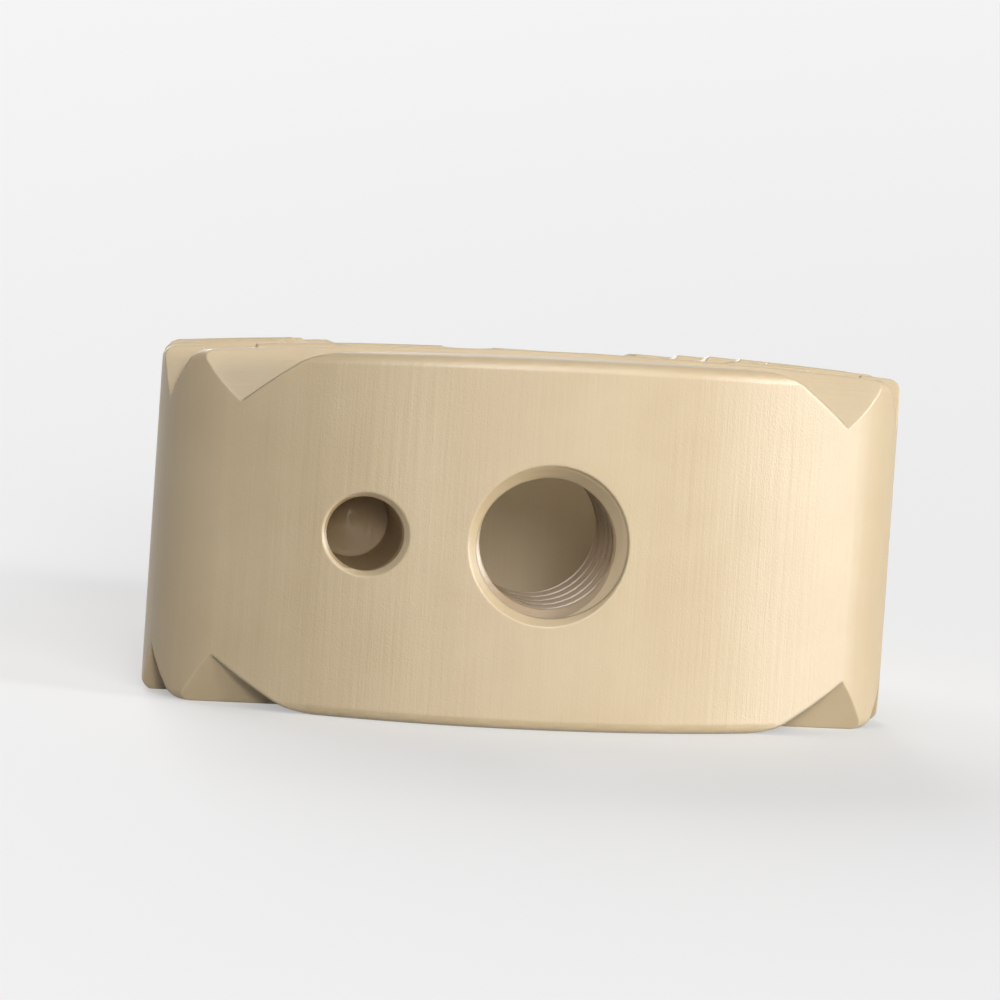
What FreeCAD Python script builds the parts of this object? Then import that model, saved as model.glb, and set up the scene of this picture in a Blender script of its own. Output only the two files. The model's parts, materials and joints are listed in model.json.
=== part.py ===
"""Cervical interbody cage: one machined body with a graft window, toothed bearing faces and an
inserter interface in its front wall, and three marker pins pressed into it. Millimetres.

The origin is in the middle of the lower bearing face. X is across the cage, -Y is the front, where
the inserter screws in, and Z is the height. The lower tooth crests lie in the plane Z = 0.
"""

import FreeCAD, Part

import math
import os

from FreeCAD import Vector

# Body
body_width = 14.0
body_depth = 12.0
front_height = 7.0
lordosis_angle = 7.0
front_radius = 12.0
front_corner_radius = 2.0
rear_width = 11.6
rear_corner_radius = 2.2
edge_radius = 0.2

# Crown of the upper bearing face
crown_bulge = 0.25
crown_width_radius = 80.0

# Graft window
front_wall = 2.7
side_wall = 2.5
rear_wall = 2.2
window_corner_radius = 1.2
window_edge_chamfer = 0.2

# Teeth, from the front: a land, then grooves with a long flank down and a short flank up
groove_count = 8
front_land = 0.88
rear_land = 1.05
tooth_depth = 0.95
long_flank = 0.74
short_flank = 0.42

# Inserter interface
tapping_radius = 1.25
tapping_chamfer = 0.28
peg_radius = 0.7
peg_chamfer = 0.1
peg_depth = 1.9
peg_spacing = 3.4
drill_point_angle = 118.0

# Marker pins
pin_radius = 0.5
pin_setback = 0.12

# Reach of a cutter beyond the surface that it cuts, and how near counts as touching
overshoot = 2.0
touching = 1e-4

front_y = -body_depth / 2
rear_y = body_depth / 2
front_centre_y = front_y + front_radius
thread_height = front_height / 2
groove_width = long_flank + short_flank
groove_pitch = (body_depth - front_land - rear_land - groove_width) / (groove_count - 1)
chord_length = body_depth / math.cos(math.radians(lordosis_angle))


def right_tangent(centre_a, radius_a, centre_b, radius_b):
    """The two ends of the line that touches two circles on their right-hand side, from a to b."""
    step = centre_b - centre_a
    heading = math.atan2(step.y, step.x)
    normal_angle = heading - math.acos((radius_a - radius_b) / step.Length)
    normal = Vector(math.cos(normal_angle), math.sin(normal_angle), 0)
    return centre_a + normal * radius_a, centre_b + normal * radius_b


def mirrored(point):
    return Vector(-point.x, point.y, point.z)


def arc(start, middle, end):
    return Part.Arc(start, middle, end).toShape()


def corner_arc(start, end, centre):
    """The short way round a centre from one point to another."""
    halfway = ((start + end) * 0.5 - centre).normalize()
    return arc(start, centre + halfway * (start - centre).Length, end)


def corner_centre(width, arc_radius, corner_radius):
    """Centre of the round corner that joins the bowed front to the right-hand side."""
    across = width / 2 - corner_radius
    forward = math.sqrt((arc_radius - corner_radius) ** 2 - across**2)
    return Vector(across, front_centre_y - forward, 0)


def outline(width, arc_radius, corner_radius, back_width, back_y, back_corner_radius):
    """A closed plan outline: a bowed front, round corners, sides that draw in, and a flat back."""
    arc_centre = Vector(0, front_centre_y, 0)
    corner = corner_centre(width, arc_radius, corner_radius)
    back_corner = Vector(back_width / 2 - back_corner_radius, back_y - back_corner_radius, 0)

    apex = Vector(0, front_centre_y - arc_radius, 0)
    arc_end = corner + (corner - arc_centre).normalize() * corner_radius
    side_start, side_end = right_tangent(corner, corner_radius, back_corner, back_corner_radius)
    back_end = Vector(back_corner.x, back_y, 0)

    edges = [
        arc(mirrored(arc_end), apex, arc_end),
        corner_arc(arc_end, side_start, corner),
        Part.makeLine(side_start, side_end),
        corner_arc(side_end, back_end, back_corner),
        Part.makeLine(back_end, mirrored(back_end)),
        corner_arc(mirrored(back_end), mirrored(side_end), mirrored(back_corner)),
        Part.makeLine(mirrored(side_end), mirrored(side_start)),
        corner_arc(mirrored(side_start), mirrored(arc_end), mirrored(corner)),
    ]
    return Part.Wire(edges)


def body_outline():
    return outline(
        body_width, front_radius, front_corner_radius, rear_width, rear_y, rear_corner_radius
    )


def window_outline():
    return outline(
        body_width - 2 * side_wall,
        front_radius - front_wall,
        window_corner_radius,
        rear_width - 2 * side_wall,
        rear_y - rear_wall,
        window_corner_radius,
    )


def column(wire, bottom):
    """A plan outline drawn out from a level to above the upper face."""
    face = Part.Face(wire)
    face.translate(Vector(0, 0, bottom))
    return face.extrude(Vector(0, 0, front_height + overshoot - bottom))


def body_column():
    return column(body_outline(), 0)


def window_column():
    return column(window_outline(), -overshoot)


def in_profile(along, height):
    """A point of the lengthways profile, from the front edge backwards."""
    return Vector(0, along, height)


def crown_height(along):
    """Height of the upper crests over their chord."""
    half = chord_length / 2
    radius = (half**2 + crown_bulge**2) / (2 * crown_bulge)
    return math.sqrt(radius**2 - (along - half) ** 2) - (radius - crown_bulge)


def flat_height(along):
    """Height of the lower crests over theirs."""
    return 0.0


def onto_crown(shape):
    """Moves what was made on a level chord that starts at the origin onto the sloping upper face."""
    shape.rotate(Vector(0, 0, 0), Vector(1, 0, 0), -lordosis_angle)
    shape.translate(Vector(0, front_y, front_height))
    return shape


def swept_over_crown(face):
    """Turns a profile about the axis that gives the upper face its round over the width."""
    reach = math.degrees(math.asin((body_width / 2 + overshoot) / crown_width_radius))
    centre = Vector(0, 0, crown_bulge - crown_width_radius)
    lengthways = Vector(0, 1, 0)
    face.rotate(centre, lengthways, -reach)
    return onto_crown(face.revolve(centre, lengthways, 2 * reach))


def crown_envelope():
    """Everything under the surface that the upper crests lie in."""
    floor = -front_height - 2 * overshoot
    start, middle, end = -overshoot, chord_length / 2, chord_length + overshoot
    top_start = in_profile(start, crown_height(start))
    top_middle = in_profile(middle, crown_height(middle))
    top_end = in_profile(end, crown_height(end))
    sides = Part.makePolygon([top_end, in_profile(end, floor), in_profile(start, floor), top_start])
    return swept_over_crown(Part.Face(Part.Wire([arc(top_start, top_middle, top_end)] + sides.Edges)))


def groove_starts():
    return [front_land + number * groove_pitch for number in range(groove_count)]


def groove_profile(start, height_at):
    """The space between two teeth, with its flanks carried on beyond the crests."""
    root_along = start + long_flank
    end = start + groove_width
    front_crest = in_profile(start, height_at(start))
    root = in_profile(root_along, height_at(root_along) - tooth_depth)
    rear_crest = in_profile(end, height_at(end))
    carried_on = overshoot / tooth_depth
    above_front = front_crest + (front_crest - root) * carried_on
    above_rear = rear_crest + (rear_crest - root) * carried_on
    return Part.Face(Part.makePolygon([root, above_rear, above_front, root]))


def upper_groove(start):
    return swept_over_crown(groove_profile(start, crown_height))


def lower_groove(start):
    face = groove_profile(start, flat_height)
    face.rotate(Vector(0, 0, 0), Vector(0, 1, 0), 180)
    face.translate(Vector(-body_width, front_y, 0))
    return face.extrude(Vector(2 * body_width, 0, 0))


def lies_on(edge, solid):
    """Whether an edge lies in the surface of a solid, going by its ends and its middle."""
    first, last = edge.ParameterRange
    places = [edge.valueAt(first), edge.valueAt((first + last) / 2), edge.valueAt(last)]
    surface = solid.Shells[0]
    return all(surface.distToShape(Part.Vertex(place))[0] < touching for place in places)


def is_upright(edge):
    return abs(edge.tangentAt(edge.FirstParameter).z) > 1 - touching


def rim_edges(shape, column):
    """The edges of a shape that run round the top and bottom of a column that it was cut to."""
    return [edge for edge in shape.Edges if lies_on(edge, column) and not is_upright(edge)]


def bored(shape, bore, chamfer):
    """Cuts a bore into the front and chamfers its mouth evenly, along the bow of the face."""
    cut = shape.cut(bore)
    column = body_column()
    mouth = [edge for edge in cut.Edges if lies_on(edge, bore) and lies_on(edge, column)]
    return cut.makeChamfer(chamfer, mouth)


def front_surface_y(across):
    """Where the bowed front face lies, at a distance from the middle."""
    return front_centre_y - math.sqrt(front_radius**2 - across**2)


def tapping_bore():
    """The bore of the inserter's screw, through the front wall into the window."""
    start = Vector(0, front_y - overshoot, thread_height)
    return Part.makeCylinder(tapping_radius, front_wall + 2 * overshoot, start, Vector(0, 1, 0))


def peg_bore():
    """The blind hole beside it, where the inserter's peg stops the cage turning."""
    mouth = Vector(-peg_spacing, front_surface_y(peg_spacing), thread_height)
    start = mouth - Vector(0, overshoot, 0)
    drill = Part.makeCylinder(peg_radius, peg_depth + overshoot, start, Vector(0, 1, 0))
    point_length = peg_radius / math.tan(math.radians(drill_point_angle / 2))
    point_start = mouth + Vector(0, peg_depth, 0)
    return drill.fuse(Part.makeCone(peg_radius, 0, point_length, point_start, Vector(0, 1, 0)))


def pin_places():
    """Where each marker pin stands: in the middle of a side wall, level with the front corner's
    centre, and in the middle of the rear wall."""
    corner = corner_centre(body_width, front_radius, front_corner_radius)
    front_right = Vector((body_width - side_wall) / 2, corner.y, 0)
    return {
        "marker_pin_front_left": mirrored(front_right),
        "marker_pin_front_right": front_right,
        "marker_pin_rear": Vector(0, rear_y - rear_wall / 2, 0),
    }


def upper_height(place):
    """Height of the upper crests over a place in plan."""
    line = Part.makeLine(place, place + Vector(0, 0, front_height + overshoot))
    return line.common(crown_envelope()).BoundBox.ZMax


def marker_pin(place):
    """A pin whose two ends lie just below the roots of the teeth."""
    bottom = tooth_depth + pin_setback
    top = upper_height(place) - tooth_depth - pin_setback
    return Part.makeCylinder(pin_radius, top - bottom, place + Vector(0, 0, bottom))


def pin_bore(place):
    start = place - Vector(0, 0, overshoot)
    return Part.makeCylinder(pin_radius, front_height + 2 * overshoot, start)


def cage_body():
    """The machined body: a crowned block with round edges, its bores and window, then its teeth."""
    block = body_column().common(crown_envelope())
    block = block.makeFillet(edge_radius, rim_edges(block, body_column()))
    block = bored(block, tapping_bore(), tapping_chamfer)
    block = bored(block, peg_bore(), peg_chamfer)
    ring = block.cut(window_column())
    ring = ring.makeChamfer(window_edge_chamfer, rim_edges(ring, window_column()))
    grooves = [upper_groove(start) for start in groove_starts()]
    grooves += [lower_groove(start) for start in groove_starts()]
    return ring.cut(grooves + [pin_bore(place) for place in pin_places().values()])


def save(name, shape):
    shape.exportStep(os.path.join("parts", name + ".step"))


os.makedirs("parts", exist_ok=True)
save("cage_body", cage_body())
for pin_name, pin_place in pin_places().items():
    save(pin_name, marker_pin(pin_place))
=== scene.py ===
import json
import math

import bmesh
import bpy
from mathutils import Matrix, Vector
from mathutils.bvhtree import BVHTree
from mathutils.interpolate import poly_3d_calc

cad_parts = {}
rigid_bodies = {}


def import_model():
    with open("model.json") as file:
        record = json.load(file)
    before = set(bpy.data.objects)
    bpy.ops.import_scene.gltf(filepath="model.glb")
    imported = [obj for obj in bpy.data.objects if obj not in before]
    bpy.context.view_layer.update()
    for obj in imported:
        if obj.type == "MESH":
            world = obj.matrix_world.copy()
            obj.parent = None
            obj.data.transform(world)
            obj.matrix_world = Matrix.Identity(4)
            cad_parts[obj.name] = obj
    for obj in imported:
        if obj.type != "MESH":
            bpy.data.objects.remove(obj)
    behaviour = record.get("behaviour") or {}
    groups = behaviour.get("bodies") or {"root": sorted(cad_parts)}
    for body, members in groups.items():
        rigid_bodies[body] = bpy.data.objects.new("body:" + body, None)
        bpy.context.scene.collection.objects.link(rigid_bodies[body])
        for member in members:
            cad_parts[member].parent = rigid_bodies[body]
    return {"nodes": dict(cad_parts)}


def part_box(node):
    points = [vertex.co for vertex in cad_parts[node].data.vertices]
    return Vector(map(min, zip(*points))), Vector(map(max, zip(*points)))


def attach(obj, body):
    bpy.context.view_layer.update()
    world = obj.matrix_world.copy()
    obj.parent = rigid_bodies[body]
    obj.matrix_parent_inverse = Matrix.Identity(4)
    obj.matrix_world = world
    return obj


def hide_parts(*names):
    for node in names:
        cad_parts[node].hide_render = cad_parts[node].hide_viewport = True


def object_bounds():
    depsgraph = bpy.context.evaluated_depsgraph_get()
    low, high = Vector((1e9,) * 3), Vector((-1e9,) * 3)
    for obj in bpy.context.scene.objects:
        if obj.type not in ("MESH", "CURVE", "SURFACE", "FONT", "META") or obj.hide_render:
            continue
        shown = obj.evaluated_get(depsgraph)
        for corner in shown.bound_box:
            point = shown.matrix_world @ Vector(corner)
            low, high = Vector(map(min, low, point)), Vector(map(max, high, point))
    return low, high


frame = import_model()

mm = 0.001
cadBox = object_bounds()
cadLow, cadHigh = Vector(cadBox[0]), Vector(cadBox[1])
middle = (cadLow + cadHigh) / 2
print("loaded the nodes", sorted(frame["nodes"]))


# Camera, at the photograph's angle: in front of the cage, a little to the left and above
photoView = {
    "azimuth": -9.5,
    "elevation": 7.8,
    "roll": 3.9,               # clockwise, so the right end hangs lower
    "distance": 400 * mm,
    "widthShare": 0.74,        # of the picture, that the cage's width takes
    "nearest": 1 * mm,
    "farthest": 10000 * mm,
}


def directionTo(azimuth, elevation):
    a, e = math.radians(azimuth), math.radians(elevation)
    return Vector((math.sin(a) * math.cos(e), -math.cos(a) * math.cos(e), math.sin(e)))


def placeFacing(thing, place, target, roll=0.0):
    facing = (target - place).to_track_quat("-Z", "Y").to_matrix().to_4x4()
    thing.matrix_world = Matrix.Translation(place) @ facing @ Matrix.Rotation(math.radians(roll), 4, "Z")


def newObject(name, data):
    made = bpy.data.objects.new(name, data)
    bpy.context.scene.collection.objects.link(made)
    return made


def newPiece(name, shape):
    mesh = bpy.data.meshes.new(name)
    shape.to_mesh(mesh)
    shape.free()
    return newObject(name, mesh)


def makeCamera(view):
    lens = bpy.data.cameras.new("photoCamera")
    camera = newObject("photoCamera", lens)
    place = middle + directionTo(view["azimuth"], view["elevation"]) * view["distance"]
    placeFacing(camera, place, middle, view["roll"])
    pictureWidth = (cadHigh.x - cadLow.x) / view["widthShare"]
    lens.lens = lens.sensor_width * view["distance"] / pictureWidth
    lens.clip_start = view["nearest"]
    lens.clip_end = view["farthest"]
    bpy.context.scene.camera = camera


makeCamera(photoView)
print("camera placed")


# A socket in a material, so that shader maths reads as an expression
class Signal:
    def __init__(self, recipe, socket):
        self.recipe = recipe
        self.socket = socket

    def maths(self, operation, first, second=0.0, clamp=False):
        settings = {"operation": operation, "use_clamp": clamp}
        return self.recipe.node("ShaderNodeMath", settings, {0: first, 1: second}).out("Value")

    def __add__(self, other):
        return self.maths("ADD", self, other)

    def __sub__(self, other):
        return self.maths("SUBTRACT", self, other)

    def __mul__(self, other):
        return self.maths("MULTIPLY", self, other)

    def __rsub__(self, other):
        return self.maths("SUBTRACT", other, self)

    def __gt__(self, other):
        return self.maths("GREATER_THAN", self, other)

    def __lt__(self, other):
        return self.maths("LESS_THAN", self, other)

    __radd__ = __add__
    __rmul__ = __mul__

    def size(self):
        return self.maths("ABSOLUTE", self)

    def clamped(self):
        return self.maths("ADD", self, 0.0, clamp=True)


class Step:
    def __init__(self, recipe, node):
        self.recipe = recipe
        self.node = node

    def out(self, name):
        return Signal(self.recipe, self.node.outputs[name])


# The nodes of a material or a world, built up one by one
class Recipe:
    def __init__(self, owner):
        owner.use_nodes = True
        self.owner = owner
        self.tree = owner.node_tree
        self.tree.nodes.clear()

    def node(self, kind, settings, sockets):
        made = self.tree.nodes.new(kind)
        for key, value in settings.items():
            setattr(made, key, value)
        for key, value in sockets.items():
            if isinstance(value, Signal):
                self.tree.links.new(value.socket, made.inputs[key])
            else:
                made.inputs[key].default_value = value
        return Step(self, made)

    def place(self):
        return self.node("ShaderNodeTexCoord", {}, {}).out("Object")

    def vectors(self, operation, first, second=(0.0, 0.0, 0.0)):
        settings = {"operation": operation}
        return self.node("ShaderNodeVectorMath", settings, {0: first, 1: second}).out("Value")

    def noise(self, scale, detail=2.0, roughness=0.5):
        stretched = self.node("ShaderNodeMapping", {}, {"Vector": self.place(), "Scale": scale}).out("Vector")
        sockets = {"Vector": stretched, "Scale": 1.0, "Detail": detail, "Roughness": roughness}
        return self.node("ShaderNodeTexNoise", {}, sockets).out("Fac")

    def blend(self, share, first, second):
        sockets = {0: share, 6: first, 7: second}      # 6 and 7 are its two colours, and 2 comes out
        return self.node("ShaderNodeMix", {"data_type": "RGBA"}, sockets).out(2)

    def rounded(self, radius, samples):
        return self.node("ShaderNodeBevel", {"samples": samples}, {"Radius": radius}).out("Normal")

    def bump(self, height, depth, normal):
        sockets = {"Height": height, "Distance": depth, "Normal": normal}
        return self.node("ShaderNodeBump", {}, sockets).out("Normal")

    def principled(self, sockets):
        return self.node("ShaderNodeBsdfPrincipled", {}, sockets).out("BSDF")

    def finish(self, shader):
        isWorld = isinstance(self.owner, bpy.types.World)
        self.node("ShaderNodeOutputWorld" if isWorld else "ShaderNodeOutputMaterial", {}, {"Surface": shader})
        return self.owner


# A colour as it is seen, from 0 to 255, as the value that a shader takes
def linear(red, green, blue):
    def channel(value):
        share = value / 255
        return share / 12.92 if share <= 0.04045 else ((share + 0.055) / 1.055) ** 2.4
    return (channel(red), channel(green), channel(blue), 1.0)


# Natural PEEK, milled and then tumbled to a satin finish. A scale is a number per metre
peekLook = {
    "tan": linear(197, 177, 141),
    "pale": linear(220, 204, 172),
    "deep": linear(182, 158, 119),
    "cloudScale": 500,         # clouds of about 2 mm
    "cloudGain": 1.6,
    "cloudCut": 0.3,
    "streakScale": 9000,       # tool marks about 0.1 mm apart
    "streakRun": 250,          # and some 4 mm long
    "streakShare": 0.5,
    "passScale": 1700,         # broader bands, from one pass of the cutter to the next
    "passRun": 3,              # so many times as long as a streak
    "passGain": 2.5,
    "passCut": 0.9,
    "passShare": 0.06,
    "grainScale": 24000,
    "toothTilt": 0.35,         # a face that looks up or down by more is a tooth's
    "edgeRound": 0.06 * mm,
    "edgeSamples": 6,
    "edgeHighlightGain": 5.0,
    "edgeHighlightShare": 0.6,          # of the pale tone along an edge, a painted highlight
    "streakDepth": 0.006 * mm,
    "grainDepth": 0.003 * mm,
    "roughness": 0.34,
    "streakRoughness": 0.1,
    "passRoughness": 0.08,
    "grainRoughness": 0.06,
    "refraction": 1.67,
    "gloss": 0.75,
    "underSkin": 0.15,         # share of the light that goes in and comes out again
    "underSkinReach": 0.4 * mm,
    "underSkinTint": (1.0, 0.6, 0.3),
}

# The bores, drilled and tapped, painted a deeper tan: painted shade, so that they look dark as a recess in
# shade does
paintedBoreShade = {"tone": linear(138, 112, 76), "share": 0.8}

bores = [
    {"across": 0.0, "height": 3.5 * mm, "reach": 1.56 * mm, "mouth": -5.7 * mm, "end": -3.3 * mm},
    {"across": -3.4 * mm, "height": 3.5 * mm, "reach": 0.75 * mm, "mouth": -5.35 * mm, "end": -2.9 * mm},
]


# 1 inside a bore and 0 outside it
def insideBore(recipe, bore):
    spot = recipe.node("ShaderNodeSeparateXYZ", {}, {"Vector": recipe.place()})
    flat = recipe.node("ShaderNodeCombineXYZ", {}, {"X": spot.out("X"), "Y": 0.0, "Z": spot.out("Z")})
    away = recipe.vectors("DISTANCE", flat.out("Vector"), (bore["across"], 0.0, bore["height"]))
    depth = spot.out("Y")
    return (bore["reach"] > away) * (depth > bore["mouth"]) * (bore["end"] > depth)


def peekMaterial(look):
    recipe = Recipe(bpy.data.materials.new("naturalPeek"))
    normal = recipe.node("ShaderNodeNewGeometry", {}, {}).out("Normal")
    rounded = recipe.rounded(look["edgeRound"], look["edgeSamples"])
    # Painted highlight: a mask along every edge, so that a paler tone is painted where a rounded rim would
    # catch the light
    edge = ((1 - recipe.vectors("DOT_PRODUCT", normal, rounded)) * look["edgeHighlightGain"]).clamped()
    upward = recipe.node("ShaderNodeSeparateXYZ", {}, {"Vector": normal}).out("Z")
    tooth = upward.size() > look["toothTilt"]

    fine, run, broad = look["streakScale"], look["streakRun"], look["passScale"]
    wallStreaks = recipe.noise((fine, fine, run), detail=3.0, roughness=0.6)
    toothStreaks = recipe.noise((run, fine, fine), detail=3.0, roughness=0.6)
    streaks = tooth * toothStreaks + (1 - tooth) * wallStreaks
    passes = recipe.noise((broad, broad, run / look["passRun"]))
    clouds = recipe.noise((look["cloudScale"],) * 3, detail=4.0, roughness=0.55)
    grain = recipe.noise((look["grainScale"],) * 3)

    clouded = (clouds * look["cloudGain"] - look["cloudCut"]).clamped()
    passed = (passes * look["passGain"] - look["passCut"]).clamped() * look["passShare"]
    colour = recipe.blend(clouded, look["deep"], look["tan"])
    colour = recipe.blend((streaks * look["streakShare"]).clamped(), colour, look["tan"])
    colour = recipe.blend(passed, colour, look["pale"])
    # painted highlight: the pale tone along the edges
    colour = recipe.blend(edge * look["edgeHighlightShare"], colour, look["pale"])
    # painted shade: each bore painted a deeper tan
    for bore in bores:
        colour = recipe.blend(insideBore(recipe, bore) * paintedBoreShade["share"], colour, paintedBoreShade["tone"])

    marks = streaks * look["streakRoughness"] + passes * look["passRoughness"]
    marks = marks + grain * look["grainRoughness"]
    relief = recipe.bump(streaks, look["streakDepth"], rounded)
    relief = recipe.bump(grain, look["grainDepth"], relief)
    return recipe.finish(recipe.principled({
        "Base Color": colour,
        "Roughness": look["roughness"] + marks,
        "IOR": look["refraction"],
        "Specular IOR Level": look["gloss"],
        "Normal": relief,
        "Subsurface Weight": look["underSkin"],
        "Subsurface Radius": look["underSkinTint"],
        "Subsurface Scale": look["underSkinReach"],
    }))


# Tantalum wire, with the marks of the cut across its ends
tantalumLook = {
    "bright": linear(172, 173, 180),
    "dull": linear(120, 121, 128),
    "stainScale": 2600,
    "stainGain": 1.4,
    "stainCut": 0.2,
    "scratchScale": 14000,
    "scratchRun": 9,           # so many times as long as they are apart
    "scratchDepth": 0.004 * mm,
    "edgeRound": 0.03 * mm,
    "edgeSamples": 4,
    "roughness": 0.3,
    "stainRoughness": 0.15,
    "scratchRoughness": 0.1,
}


def tantalumMaterial(look):
    recipe = Recipe(bpy.data.materials.new("tantalum"))
    across, along = look["scratchScale"], look["scratchScale"] / look["scratchRun"]
    scratches = recipe.noise((across, along, across), detail=3.0)
    stain = recipe.noise((look["stainScale"],) * 3, detail=3.0)
    stained = (stain * look["stainGain"] - look["stainCut"]).clamped()
    rounded = recipe.rounded(look["edgeRound"], look["edgeSamples"])
    marks = stain * look["stainRoughness"] + scratches * look["scratchRoughness"]
    return recipe.finish(recipe.principled({
        "Base Color": recipe.blend(stained, look["dull"], look["bright"]),
        "Metallic": 1.0,
        "Roughness": look["roughness"] + marks,
        "Normal": recipe.bump(scratches, look["scratchDepth"], rounded),
    }))


peek = peekMaterial(peekLook)
tantalum = tantalumMaterial(tantalumLook)
print("materials made")


# The body with the inserter's thread, M3 x 0.5, cut through the front wall
inserterThread = {
    "height": 3.5 * mm,
    "core": 1.2 * mm,          # a little inside the bore, so that no skin is left
    "major": 1.5 * mm,
    "pitch": 0.5 * mm,
    "flankAngle": 30,
    "rootShare": 1 / 16,       # of the pitch: half of the flat at the major diameter
    "turned": 17,              # so that its edges keep clear of the bore's seam
    "start": -6.6 * mm,        # ahead of the front face
    "turns": 9,
    "stepsPerTurn": 64,
    "weld": 0.0001 * mm,
    "smoothBelow": 30,
    "sameFace": 0.002 * mm,    # how near a face lies to the CAD's when it is one of them
    "sameWay": 0.999,          # and how well the two then face the same way
}


def makeTap(thread):
    pitch, steps = thread["pitch"], thread["stepsPerTurn"]
    slope = (thread["major"] - thread["core"]) * math.tan(math.radians(thread["flankAngle"]))
    root = pitch * thread["rootShare"]
    places = [
        (thread["core"], 0),
        (thread["core"], pitch / 2 - root - slope),
        (thread["major"], pitch / 2 - root),
        (thread["major"], pitch / 2 + root),
        (thread["core"], pitch / 2 + root + slope),
        (thread["core"], pitch),
    ]
    centre = (0, 0, thread["height"])
    shape = bmesh.new()
    points = [shape.verts.new((out, thread["start"] + along, thread["height"])) for out, along in places]
    profile = points + [shape.edges.new(pair) for pair in zip(points, points[1:])]
    bmesh.ops.spin(
        shape, geom=profile, cent=centre, axis=(0, 1, 0), dvec=(0, pitch / steps, 0),
        angle=2 * math.pi * thread["turns"], steps=thread["turns"] * steps,
    )
    bmesh.ops.remove_doubles(shape, verts=shape.verts, dist=thread["weld"])
    bmesh.ops.holes_fill(shape, edges=[edge for edge in shape.edges if edge.is_boundary])
    bmesh.ops.recalc_face_normals(shape, faces=shape.faces)
    turn = Matrix.Rotation(math.radians(thread["turned"]), 3, "Y")
    bmesh.ops.rotate(shape, verts=shape.verts, cent=centre, matrix=turn)
    return newPiece("tap", shape)


def weldedCopy(name, node, weld):
    shape = bmesh.new()
    shape.from_mesh(node.data)
    bmesh.ops.remove_doubles(shape, verts=shape.verts, dist=weld)
    return newPiece(name, shape)


def cutWith(piece, tool):
    cut = piece.modifiers.new("cut", "BOOLEAN")
    cut.operation = "DIFFERENCE"
    cut.solver = "EXACT"
    cut.object = tool
    asCut = piece.evaluated_get(bpy.context.evaluated_depsgraph_get())
    piece.data = bpy.data.meshes.new_from_object(asCut)
    piece.modifiers.clear()
    bpy.data.objects.remove(tool)


# Smooth shading for the new faces, and the CAD's own normals on every face that comes from it
def shadeAs(mesh, source, thread):
    if "custom_normal" in mesh.attributes:
        mesh.attributes.remove(mesh.attributes["custom_normal"])
    mesh.shade_smooth()
    mesh.set_sharp_from_angle(angle=math.radians(thread["smoothBelow"]))
    corners = [vertex.co for vertex in source.vertices]
    tree = BVHTree.FromPolygons(corners, [face.vertices for face in source.polygons])
    normals = [corner.vector.copy() for corner in mesh.corner_normals]
    kept = 0
    for face in mesh.polygons:
        facing, number, gap = tree.find_nearest(face.center)[1:]
        if gap > thread["sameFace"] or facing.dot(face.normal) < thread["sameWay"]:
            continue
        old = source.polygons[number]
        ring = [corners[vertex] for vertex in old.vertices]
        given = [source.corner_normals[corner].vector for corner in old.loop_indices]
        for corner in face.loop_indices:
            shares = poly_3d_calc(ring, mesh.vertices[mesh.loops[corner].vertex_index].co)
            mixed = sum((normal * share for normal, share in zip(given, shares)), Vector())
            normals[corner] = mixed.normalized()
        kept += 1
    mesh.normals_split_custom_set(normals)
    return kept


def makeThreadedBody(thread):
    node = frame["nodes"]["cage_body"]
    body = weldedCopy("threaded_body", node, thread["weld"])
    cutWith(body, makeTap(thread))
    kept = shadeAs(body.data, node.data, thread)
    body.data.materials.clear()
    body.data.materials.append(peek)
    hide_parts("cage_body")
    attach(body, "root")
    print("threaded body:", len(body.data.polygons), "faces,", kept, "shaded as in the CAD")


makeThreadedBody(inserterThread)


# Marker pins, cut from wire and with their ends broken round
markerPin = {
    "endRound": 0.08 * mm,
    "endSteps": 4,
    "endFacing": 0.9,          # a face that looks up or down by more is an end
    "around": 48,
    "smoothBelow": 40,
}


def makeMarkerPin(node, pin):
    low, high = (Vector(corner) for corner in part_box(node))
    centre, reach = (low + high) / 2, high - low
    radius = reach.x / 2
    shape = bmesh.new()
    bmesh.ops.create_cone(
        shape, cap_ends=True, segments=pin["around"], radius1=radius, radius2=radius, depth=reach.z,
        matrix=Matrix.Translation(centre),
    )
    ends = [face for face in shape.faces if abs(face.normal.z) > pin["endFacing"]]
    rims = [edge for face in ends for edge in face.edges]
    bmesh.ops.bevel(
        shape, geom=rims, offset=pin["endRound"], segments=pin["endSteps"],
        profile=0.5, affect="EDGES", material=-1,
    )
    for face in shape.faces:
        face.smooth = True
    piece = newPiece(node.replace("marker_pin", "wire_pin"), shape)
    piece.data.set_sharp_from_angle(angle=math.radians(pin["smoothBelow"]))
    piece.data.materials.append(tantalum)
    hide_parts(node)
    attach(piece, "root")


for name in sorted(frame["nodes"]):
    if name.startswith("marker_pin"):
        makeMarkerPin(name, markerPin)
print("marker pins made")


# A pale table and soft studio light, with the main lamp on the right
studio = {
    "tableReach": 3000 * mm,
    "tableSides": 96,
    "tableSeen": (0.86, 0.86, 0.86, 1),
    "tableBounce": (0.3, 0.3, 0.3, 1),
    "tableRoughness": 0.6,
    "fadeNear": 0.4,           # the table turns into the backdrop for the camera, this much at the cage
    "fadeEnd": 200 * mm,       # and wholly from here on
    "backdrop": (0.93, 0.93, 0.93, 1),
    "fill": (0.02, 0.02, 0.02, 1),
    "lampDistance": 350 * mm,
}

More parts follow.
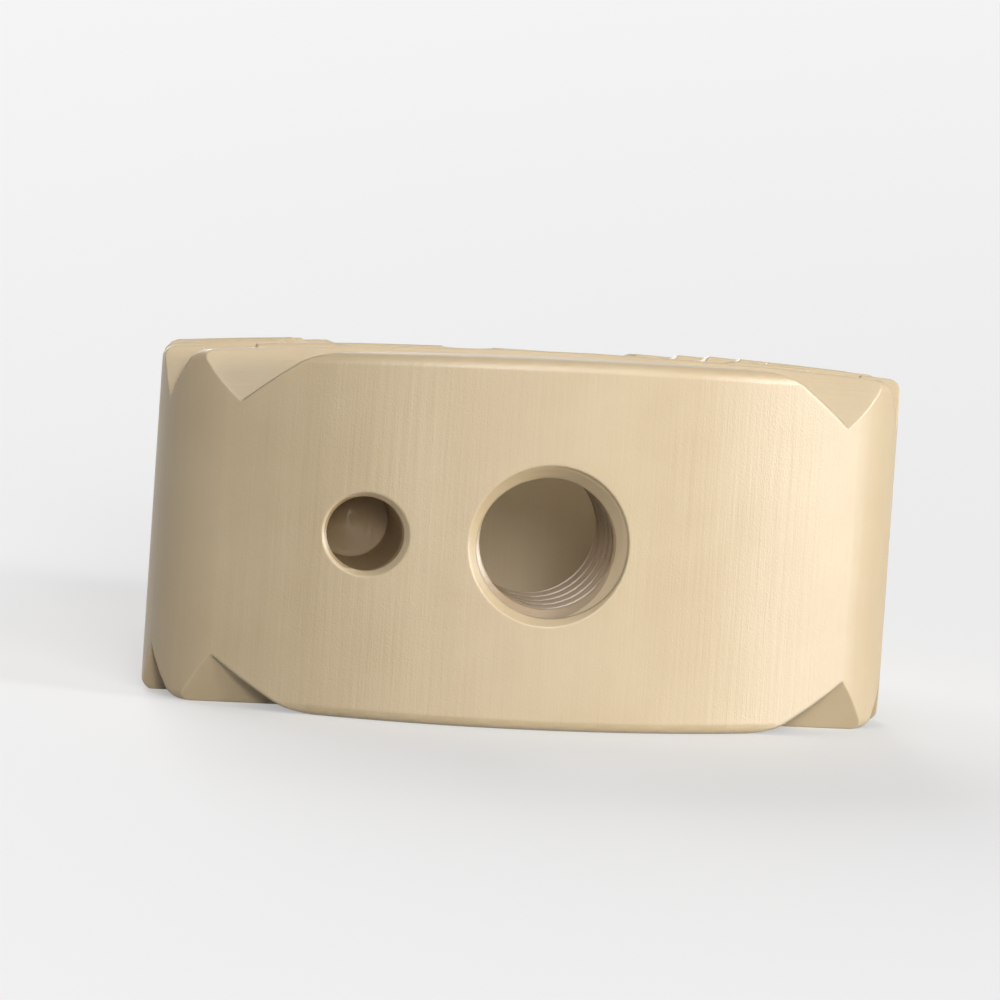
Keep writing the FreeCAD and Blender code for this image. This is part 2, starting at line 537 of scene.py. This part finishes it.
lamps = {
    "keyBox": {"azimuth": 62, "elevation": 9, "width": 70 * mm, "height": 80 * mm, "power": 1.04},
    "frontBox": {"azimuth": 12, "elevation": 36, "width": 90 * mm, "height": 120 * mm, "power": 0.24},
    "lowBox": {"azimuth": -4, "elevation": 16, "width": 60 * mm, "height": 70 * mm, "power": 0.5},
    "topBox": {"azimuth": 30, "elevation": 80, "width": 300 * mm, "height": 300 * mm, "power": 0.1},
    "backBox": {"azimuth": 198, "elevation": 28, "width": 260 * mm, "height": 200 * mm, "power": 0.8},
}


# 1 for what is seen, also in a gloss, and 0 for what lights the cage
def cameraSees(recipe):
    path = recipe.node("ShaderNodeLightPath", {}, {})
    return (path.out("Is Camera Ray") + path.out("Is Glossy Ray") + path.out("Is Transmission Ray")).clamped()


def makeWorld(look):
    recipe = Recipe(bpy.data.worlds.new("studio"))
    seen = recipe.blend(cameraSees(recipe), look["fill"], look["backdrop"])
    light = recipe.node("ShaderNodeBackground", {}, {"Color": seen, "Strength": 1.0}).out("Background")
    bpy.context.scene.world = recipe.finish(light)


def makeTable(look):
    shape = bmesh.new()
    bmesh.ops.create_circle(shape, cap_ends=True, segments=look["tableSides"], radius=look["tableReach"])
    table = newPiece("table", shape)
    recipe = Recipe(bpy.data.materials.new("paleTable"))
    seen = cameraSees(recipe)
    colour = recipe.blend(seen, look["tableBounce"], look["tableSeen"])
    surface = recipe.principled({"Base Color": colour, "Roughness": look["tableRoughness"]})
    far = recipe.node("ShaderNodeEmission", {}, {"Color": look["backdrop"]}).out("Emission")
    fadePerMetre = (1 - look["fadeNear"]) / look["fadeEnd"]
    fade = (recipe.vectors("LENGTH", recipe.place()) * fadePerMetre + look["fadeNear"]).clamped() * seen
    mixed = recipe.node("ShaderNodeMixShader", {}, {0: fade, 1: surface, 2: far}).out("Shader")
    table.data.materials.append(recipe.finish(mixed))


def makeLamp(name, lamp, distance):
    light = bpy.data.lights.new(name, "AREA")
    light.shape = "RECTANGLE"
    light.size = lamp["width"]
    light.size_y = lamp["height"]
    light.energy = lamp["power"]
    place = middle + directionTo(lamp["azimuth"], lamp["elevation"]) * distance
    placeFacing(newObject(name, light), place, middle)


makeWorld(studio)
makeTable(studio)
for name, lamp in lamps.items():
    makeLamp(name, lamp, studio["lampDistance"])
bpy.context.scene.view_settings.view_transform = "Standard"
print("studio lit")
